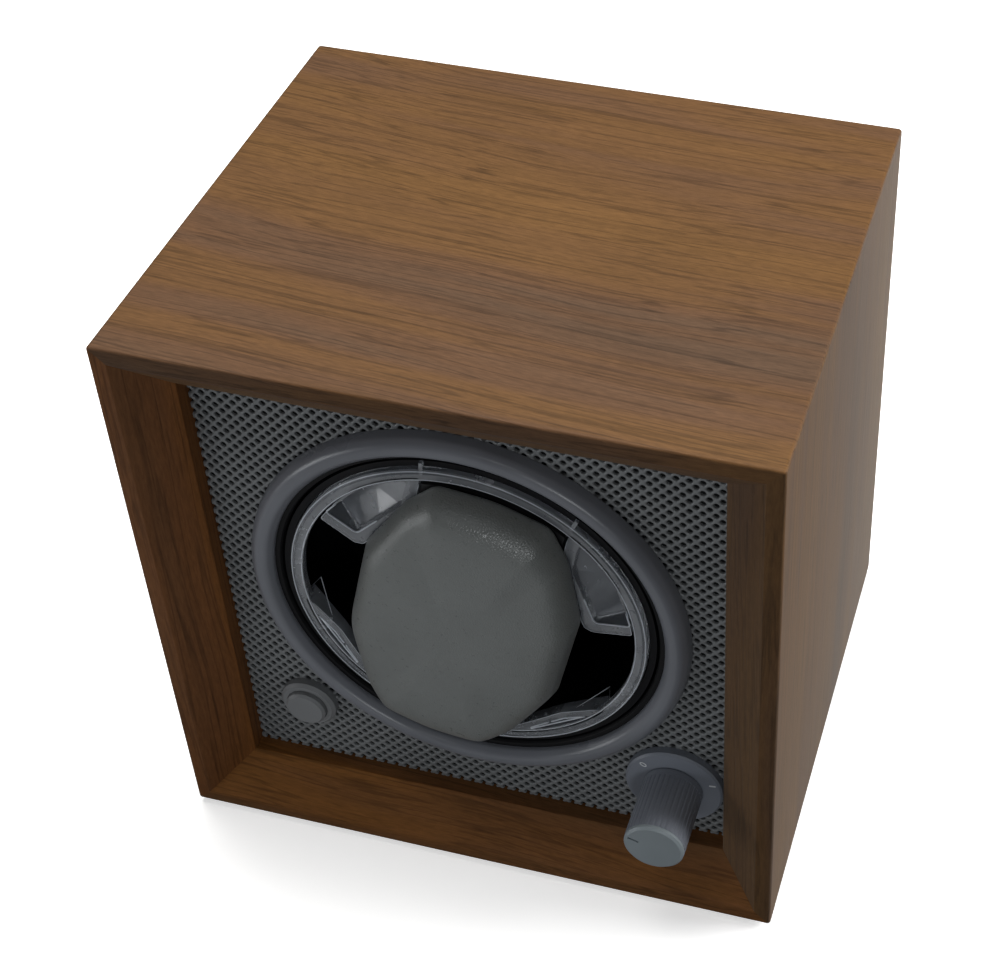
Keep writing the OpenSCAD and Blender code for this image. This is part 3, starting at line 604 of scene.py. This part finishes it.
BEZEL_OUTLINE = [(52.7, 12.3), (52.2, 10.0), (50.8, 8.3), (48.1, 8.3), (46.8, 10.0), (46.6, 12.3)]
BEZEL_RADII = [0.1, 2.6, 2.6, 2.0, 1.6, 0.2]
# The sleeve is a near-black lining inside the ring, put where the opening lies in shade: painted shade.
SLEEVE_OUTLINE = [(46.9, 10.9), (45.6, 10.9), (45.2, 11.6), (45.2, 24), (46.9, 24)]
SLEEVE_RADII = [0.1, 0.3, 0.3, 0.3, 0.3]


def make_bezel(material, shade_look):
    """The grey trim ring, and a black sleeve inside it that darkens the opening: painted shade."""
    outline = rounded(BEZEL_OUTLINE, BEZEL_RADII, 6)
    make_piece("bezel_trim", lathe(outline, 0, DRUM_Z), "case", material, ("bezel_ring",))
    outline = rounded(SLEEVE_OUTLINE, SLEEVE_RADII, 4)
    make_piece("painted_shade_sleeve", lathe(outline, 0, DRUM_Z), "case", shade_look)


# ---------- dial marks ----------

# Where each mark stands on the dial: its radius and its angle.
OVAL_AT = (9.8, math.radians(139))
DASH_AT = (10.2, math.radians(21))
OVAL_TILT = math.radians(58)
DASH_SLOPE = 0.12
MARK_TOP, MARK_BACK = -0.05, 0.3


def on_dial(radius, angle):
    return KNOB_X + radius * math.cos(angle), KNOB_Z + radius * math.sin(angle)


def make_dial_marks(material):
    """The two printed marks: a small open oval for off and a dash for on."""
    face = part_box("dial_plate")[0].y / MM
    bm = bmesh.new()
    x, z = on_dial(*OVAL_AT)
    steps = 40
    rings = []
    for k in range(steps):
        turn = 2 * math.pi * k / steps
        c, s = math.cos(turn), math.sin(turn)
        ring = []
        for a, b, depth in ((0.62, 0.95, MARK_BACK), (0.62, 0.95, MARK_TOP),
                            (0.34, 0.67, MARK_TOP), (0.34, 0.67, MARK_BACK)):
            px, pz = a * c, b * s
            ring.append((x + px * math.cos(OVAL_TILT) - pz * math.sin(OVAL_TILT), face + depth,
                         z + px * math.sin(OVAL_TILT) + pz * math.cos(OVAL_TILT)))
        rings.append(ring)
    skin(bm, rings)
    x, z = on_dial(*DASH_AT)
    outline = rounded([(-0.85, -0.24), (0.85, -0.24), (0.85, 0.24), (-0.85, 0.24)], [0.2] * 4, 4)
    skin(bm, [[(x + a, face + depth, z + b + a * DASH_SLOPE) for a, b in outline] for depth in (MARK_BACK, MARK_TOP)],
         closed=False, caps=True)
    make_piece("dial_marks", bm, "case", material)


# ---------- clear holder ----------

HOLDER_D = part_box("clear_holder")[0].y / MM - FRONT_Y
RING_IN = 39.7
# The ring's section: (radius, depth behind the holder's face), with two fine grooves and a short skirt.
RING_OUTLINE = [(RING_IN, 0.1), (40.2, 0), (41.6, 0), (41.8, 0.35), (42.2, 0.35), (42.35, 0), (42.7, 0.4),
                (42.7, 3.6), (41.5, 3.6), (41.5, 2.6), (RING_IN, 2.2)]
RING_RADII = [0.2, 0.2, 0.1, 0.1, 0.1, 0.1, 0.2, 0.2, 0.2, 0.3, 0.2]
# A pocket's floor slopes back at this rate from the line at lean and start. Outlines are (across, along) the pillow.
FLOOR_SLOPE = math.tan(math.radians(27))
UPPER = dict(outline=[(37.2, 12.4), (28.6, 8.9), (26.6, 9.3), (17.3, 24.6), (17.2, 26.4), (17.2, 37.2), (30, 30)],
             radii=[0.6, 1.2, 1.2, 1.5, 1.0, 0.6, 0],
             cavity=[(36.4, 15.2), (28.4, 12.1), (20.1, 25.8), (19.9, 35), (28.5, 28.5)],
             cavity_radii=[0.8, 1.3, 1.5, 1.0, 0], middle=(27.5, 24.0), lean=32.5, start=28)
LOWER = dict(outline=[(38.4, -14.8), (27.6, -22.9), (22.3, -29.3), (17.6, -34.6), (17.6, -37), (30, -30)],
             radii=[0.5, 2.5, 2.5, 0.8, 0.5, 0],
             cavity=[(36.6, -18.2), (28.8, -24.2), (23.8, -29.9), (21, -33.4), (28.5, -28.5)],
             cavity_radii=[0.3, 2, 2, 0.3, 0], middle=(27.1, -27.4), lean=-40, start=34)
POCKET_BACK, POCKET_DEEPEST, POCKET_LIP, POCKET_FLOOR = 2.2, 8, 0.22, 0.8
# A small key locates the ring on the rim of the cup, and a thin rib braces it behind each lower pocket; the rib is
# drawn in the whiter plastic of the painted highlights.
KEY = [(16.75, 38.0), (17.65, 37.8), (18.3, 40.9), (17.5, 41.2)]
KEY_DEPTHS = (0.05, 0.9)
RIB = ((37.9, -15.0, 10.5), (36.4, -15.6, 17), (29.5, -21.7, 10.5))
RIB_R = 0.15
# Thin tubes on the ring's edges, in a whiter, less clear plastic: painted highlights. Each is (radius, thickness).
RING_HIGHLIGHTS = ((42.35, 0.15), (40.0, 0.13))
BEAD_STEPS = 240


def ray_reach(middle, angle, outline, limit):
    """How far a ray from middle runs to the outline, and at most to the circle of radius limit."""
    direction = Vector((math.cos(angle), math.sin(angle)))
    start = Vector(middle)
    along = start.dot(direction)
    best = -along + math.sqrt(along * along - start.length_squared + limit * limit)
    for i, a in enumerate(outline):
        b = outline[(i + 1) % len(outline)]
        edge = b - a
        cross = direction.cross(edge)
        if abs(cross) < 1e-9:
            continue
        t = (a - start).cross(edge) / cross
        w = (a - start).cross(direction) / cross
        if t > 0 and -1e-6 <= w <= 1 + 1e-6:
            best = min(best, t)
    return start + direction * best


def lobe_loops(lobe):
    """The lobe's outer and cavity loops with matching points, seen from the cavity's middle."""
    outer = rounded(lobe["outline"], lobe["radii"], 4)
    inner = rounded(lobe["cavity"], lobe["cavity_radii"], 4)
    angles = set()
    for loop, limit in ((outer, RING_IN + 1), (inner, RING_IN - 0.1)):
        for i, a in enumerate(loop):
            b = loop[(i + 1) % len(loop)]
            parts = max(1, int((b - a).length / 1.5))
            for k in range(parts):
                step = a.lerp(b, k / parts) - Vector(lobe["middle"])
                angles.add(round(math.atan2(step.y, step.x), 3))
    angles = sorted(angles)
    return ([ray_reach(lobe["middle"], angle, outer, RING_IN + 1) for angle in angles],
            [ray_reach(lobe["middle"], angle, inner, RING_IN - 0.1) for angle in angles])


def floor_depth(lobe, u, v, start):
    lean = math.radians(lobe["lean"])
    reach = u * math.cos(lean) + v * math.sin(lean) - lobe["start"]
    return HOLDER_D + start + reach * FLOOR_SLOPE


def add_lobe(bm, lobe, side):
    """A pocket with a flat rim, a rounded lip and a floor that slopes back toward the ring."""
    outer, inner = lobe_loops(lobe)
    mid = Vector(lobe["middle"])

    def toward(points, gap):
        return [p + (mid - p).normalized() * gap for p in points]

    def level(points, depth):
        return [drum_point(side * p.x, p.y, HOLDER_D + depth) for p in points]

    def floor(points, start, deepest=99.0):
        return [drum_point(side * p.x, p.y, min(floor_depth(lobe, p.x, p.y, start), HOLDER_D + deepest))
                for p in points]

    def centre(points):
        return [mid.lerp(p, 0.02) for p in points]

    rings = [floor(centre(outer), POCKET_BACK, POCKET_DEEPEST), floor(outer, POCKET_BACK, POCKET_DEEPEST),
             level(outer, POCKET_LIP), level(toward(outer, 0.08), 0.06), level(toward(outer, 0.25), 0),
             level(toward(inner, -0.25), 0), level(toward(inner, -0.08), 0.06), level(inner, POCKET_LIP),
             floor(inner, 0.5), floor(toward(inner, 0.3), POCKET_FLOOR), floor(centre(inner), POCKET_FLOOR)]
    skin(bm, rings, closed=False, caps=True)


TUBE_SIDES = 8


def add_tube(bm, points, radius, closed=True):
    """A thin round bead through the points, each (x, y, z)."""
    points = [Vector(p) for p in points]
    turns = [2 * math.pi * k / TUBE_SIDES for k in range(TUBE_SIDES)]
    rings = []
    count = len(points)
    for i, point in enumerate(points):
        before = points[i - 1] if closed or i else point
        after = points[(i + 1) % count] if closed or i < count - 1 else point
        along = (after - before).normalized()
        across = along.cross(Vector((0, 1, 0))).normalized()
        up = across.cross(along)
        size = radius if closed or 0 < i < count - 1 else radius * 0.3
        rings.append([point + (across * math.cos(turn) + up * math.sin(turn)) * size for turn in turns])
    skin(bm, rings, closed=closed, caps=not closed)


def make_holder(body_look, highlight_look):
    """The clear frame with its four pockets, and thin whiter tubes along its edges and ribs: painted highlights."""
    outline = rounded([(radius, HOLDER_D + depth) for radius, depth in RING_OUTLINE], RING_RADII, 3)
    bm = lathe(outline, 0, DRUM_Z)
    for side in (1, -1):
        add_lobe(bm, UPPER, side)
        add_lobe(bm, LOWER, side)
        skin(bm, [[drum_point(side * u, v, HOLDER_D + depth) for u, v in KEY] for depth in KEY_DEPTHS],
             closed=False, caps=True)
    make_piece("clear_tray", bm, "drum", body_look, ("clear_holder",), sharp=32)

    bm = bmesh.new()
    turns = [2 * math.pi * k / BEAD_STEPS for k in range(BEAD_STEPS)]
    for radius, size in RING_HIGHLIGHTS:
        add_tube(bm, [drum_point(radius * math.cos(t), radius * math.sin(t), HOLDER_D + 0.06) for t in turns], size)
    for side in (1, -1):
        for lobe in (UPPER, LOWER):
            outer, inner = lobe_loops(lobe)
            across, up = lobe["middle"]
            # Whiter tubes along the pockets' lower inner edges and rims: painted highlights.
            highlight_points = [p for p in inner if p.length < RING_IN - 0.4 and p.y < 19]
            highlight_points.sort(key=lambda p: math.atan2(p.y - up, p.x - across))
            add_tube(bm, [drum_point(side * p.x, p.y, HOLDER_D + 0.02) for p in highlight_points], 0.2, closed=False)
            rim = [p for p in outer if p.length < RING_IN - 0.2]
            rim.sort(key=lambda p: math.atan2(p.y - up, p.x - across) % (2 * math.pi))
            add_tube(bm, [drum_point(side * p.x, p.y, HOLDER_D + 0.15) for p in rim], 0.10, closed=False)
        add_tube(bm, [drum_point(side * u, v, depth) for u, v, depth in RIB], RIB_R, closed=False)
    make_piece("painted_highlight_beads", bm, "drum", highlight_look)


# ---------- pillow ----------

PAD_FRONT = 1.5
PAD_BACK = 9.9
PAD_OUTLINE = [(25.6, 13), (19.0, 29.8), (13.4, 38.0), (0, 39.7), (-13.4, 38.0), (-19.0, 29.8), (-25.6, 13),
               (-25.6, -13), (-19.0, -29.8), (-13.4, -38.0), (0, -39.7), (13.4, -38.0), (19.0, -29.8), (25.6, -13)]
PAD_RADII = [6.5, 6, 5, 30, 5, 6, 6.5, 6.5, 6, 5, 30, 5, 6, 6.5]
# The roll round the edge: its width, its depth, and how much wider it is at the top.
ROLL_WIDTH, ROLL_DEPTH, TOP_ROLL = 4.6, 6.6, 2.4
ROLL_STEPS = 6
FACE_RINGS = 15
# What the short cloth simulation and the smoothing after it do. The back is held still.
HELD_DEPTH = PAD_BACK - 1.2
SWELL_PRESSURE = 9
SWELL_MOST = 1.0 * MM
SWELL_FRAMES = 20
SMOOTH_ROUNDS = 14
WAVE_SCALE, WAVE_HEIGHT = 60, 0.03 * MM


def inset(points, gap):
    """The convex outline moved in by gap, corner by corner."""
    out = []
    for i, point in enumerate(points):
        here = Vector(point)
        before = (here - Vector(points[i - 1])).normalized()
        after = (Vector(points[(i + 1) % len(points)]) - here).normalized()
        normal = Vector((before.y + after.y, -before.x - after.x)).normalized()
        out.append(tuple(here + normal * (-gap / normal.dot(Vector((before.y, -before.x))))))
    return out


def inflate(piece):
    """Let the skin swell under pressure, with its back held and no point moving far."""
    scene = bpy.context.scene
    held = piece.vertex_groups.new(name="back")
    held.add([v.index for v in piece.data.vertices if v.co.y / MM > FRONT_Y + HELD_DEPTH], 1.0, "REPLACE")
    start = [v.co.copy() for v in piece.data.vertices]
    cloth = piece.modifiers.new("swell", "CLOTH")
    cloth.settings.quality = 8
    cloth.settings.mass = 0.15
    cloth.settings.tension_stiffness = cloth.settings.compression_stiffness = 40
    cloth.settings.bending_stiffness = 8
    cloth.settings.use_pressure = True
    cloth.settings.uniform_pressure_force = SWELL_PRESSURE
    cloth.settings.effector_weights.gravity = 0
    cloth.settings.vertex_group_mass = "back"
    cloth.point_cache.frame_start = 1
    cloth.point_cache.frame_end = SWELL_FRAMES
    for number in range(1, SWELL_FRAMES + 1):
        scene.frame_set(number)
    swollen = bpy.data.meshes.new_from_object(piece.evaluated_get(bpy.context.evaluated_depsgraph_get()))
    piece.modifiers.clear()
    for vertex, moved, origin in zip(piece.data.vertices, swollen.vertices, start):
        step = moved.co - origin
        if step.length > SWELL_MOST:
            step *= SWELL_MOST / step.length
        vertex.co = origin + step
    bpy.data.meshes.remove(swollen)
    scene.frame_set(1)


def smooth_skin(piece):
    bm = bmesh.new()
    bm.from_mesh(piece.data)
    loose = [v for v in bm.verts if v.co.y / MM < FRONT_Y + HELD_DEPTH]
    for _ in range(SMOOTH_ROUNDS):
        bmesh.ops.smooth_vert(bm, verts=loose, factor=0.5, use_axis_x=True, use_axis_y=True, use_axis_z=True)
    bm.to_mesh(piece.data)
    bm.free()


def make_pillow(material):
    """The padded cover: a flat face, a soft roll round it, and a tucked-in back edge."""
    def crowned(gap):
        """The outline moved in by gap, and further at the top, where the roll is widest."""
        outline = rounded(inset(PAD_OUTLINE, gap), [max(r - gap, 2.2) for r in PAD_RADII], 6)
        shrink = 1 - TOP_ROLL * gap / ROLL_WIDTH / PAD_OUTLINE[3][1]
        return [Vector((p.x, p.y * (shrink if p.y > 0 else 1))) for p in outline]

    layers = []
    for step in range(ROLL_STEPS + 1):
        bend = math.radians(90 * step / ROLL_STEPS)
        layers.append((ROLL_WIDTH * (1 - math.sin(bend)), PAD_FRONT + ROLL_DEPTH * (1 - math.cos(bend))))
    layers += [(0, PAD_BACK - 1.0), (0.4, PAD_BACK - 0.3), (1.2, PAD_BACK)]
    bm = bmesh.new()
    rings = []
    for gap, depth in layers:
        rings.append([drum_point(u, v, depth) for u, v in crowned(gap)])
    face = crowned(ROLL_WIDTH)
    for part in range(1, FACE_RINGS):
        scale = 1 - part / FACE_RINGS
        rings.insert(0, [drum_point(p.x * scale, p.y * scale, PAD_FRONT) for p in face])
    skin(bm, rings, closed=False, caps=True)
    pad = make_piece("leather_pad", bm, "pillow", material, ("pillow_pad",), sharp=70)
    inflate(pad)
    smooth_skin(pad)
    for vertex in pad.data.vertices:
        if vertex.co.y / MM < FRONT_Y + HELD_DEPTH:
            vertex.co += vertex.normal * noise.noise(vertex.co * WAVE_SCALE) * WAVE_HEIGHT
    pad.data.shade_smooth()
    fine = pad.modifiers.new("fine_skin", "SUBSURF")
    fine.levels = fine.render_levels = 1


# ---------- materials of the CAD nodes ----------

def dress(nodes, material, bevel=0.0):
    """Give carried-over CAD nodes a material, and a small rounded edge where they show."""
    for name in nodes:
        node = frame["nodes"][name]
        node.data.materials.clear()
        node.data.materials.append(material)
        if bevel:
            edge = node.modifiers.new("rounded_edges", "BEVEL")
            edge.width = bevel * MM
            edge.segments = 3
            edge.limit_method = "ANGLE"
            edge.angle_limit = math.radians(40)
            edge.harden_normals = True


def dress_nodes():
    dress(["dial_plate", "knob"], moulded("control_grey", (0.220, 0.240, 0.282), 0.42), 0.12)
    dress(["button_body", "button_cap"], moulded("button_grey", (0.215, 0.222, 0.230), 0.45), 0.12)
    dress(["knob_cap"], moulded("knob_face", (0.305, 0.350, 0.375), 0.38), 0.1)
    dress(["drum_cup"], moulded("cup_black", (0.0025, 0.0025, 0.004), 0.6, specular_ior_level=0.25), 0.2)
    dress(["pillow_core"], moulded("core_black", (0.008, 0.008, 0.009), 0.55), 1.5)
    dress(["front_panel"], moulded("panel_black", (0.004, 0.004, 0.005), 0.7, specular_ior_level=0.25))
    dress(["back_panel"], moulded("back_black", (0.020, 0.020, 0.022), 0.55, 1800, 0.00006), 0.3)
    dress(["back_screws"], turned_metal("screw_black", (0.05, 0.05, 0.055), 0.35), 0.12)
    dress(["feet"], rubber("foot_rubber", (0.022, 0.022, 0.022)), 0.3)
    dress(["corner_blocks", "panel_cleats"], raw_pine("pine"))
    nylon = moulded("black_nylon", (0.013, 0.013, 0.015), 0.4)
    dress(["motor_plate", "driven_pulley", "drive_pulley", "button_nut"], nylon)
    dress(["dc_jack"], nylon, 0.15)
    dress(["spindle", "output_shaft", "gear_pin", "motor_shaft", "pot_shaft", "button_spring", "jack_pin"],
          turned_metal("ground_steel", (0.56, 0.57, 0.58), 0.25))
    dress(["plate_screws", "pulley_screws", "spindle_clip", "motor_screws", "cover_screws", "board_screws",
           "motor_can", "pot_body", "jack_nut"], turned_metal("zinc_plate", (0.62, 0.63, 0.66), 0.32))
    dress(["spindle_bush", "motor_pinion", "pot_nut", "board_standoffs"],
          turned_metal("brass", (0.78, 0.57, 0.25), 0.28))
    dress(["output_gear", "compound_gear", "motor_end_cap", "gearbox_cover"],
          moulded("acetal", (0.72, 0.70, 0.64), 0.4))
    dress(["drive_belt"], rubber("belt_rubber", (0.010, 0.010, 0.010)))
    dress(["control_board"], circuit_board("board_green"))
    dress(["control_chip", "board_capacitors"], moulded("component_black", (0.012, 0.012, 0.014), 0.45))
    dress(["motor_leads"], rubber("lead_red", (0.38, 0.02, 0.02)))
    dress(["button_leads"], rubber("lead_white", (0.62, 0.62, 0.60)))
    dress(["pot_leads"], rubber("lead_yellow", (0.55, 0.36, 0.03)))
    dress(["power_leads"], rubber("lead_black", (0.014, 0.014, 0.014)))


make_camera()
make_studio()
dress_nodes()
make_case()
make_sheet(moulded("mesh_grey", (0.222, 0.232, 0.238), 0.45, metallic=0.25))
make_bezel(moulded("bezel_grey", (0.198, 0.208, 0.235), 0.31),
           moulded("painted_shade_black", (0.003, 0.003, 0.004), 0.6, specular_ior_level=0.25))
make_dial_marks(moulded("mark_white", (0.80, 0.82, 0.84), 0.5))
# The bead plastic is whiter and far less clear than the frame's: painted highlight.
make_holder(clear_plastic("clear_tray", 0.6, 0.14, 0.62), clear_plastic("painted_highlight_white", 1.1, 0.08, 0.15))
make_pillow(leather("pillow_leather"))
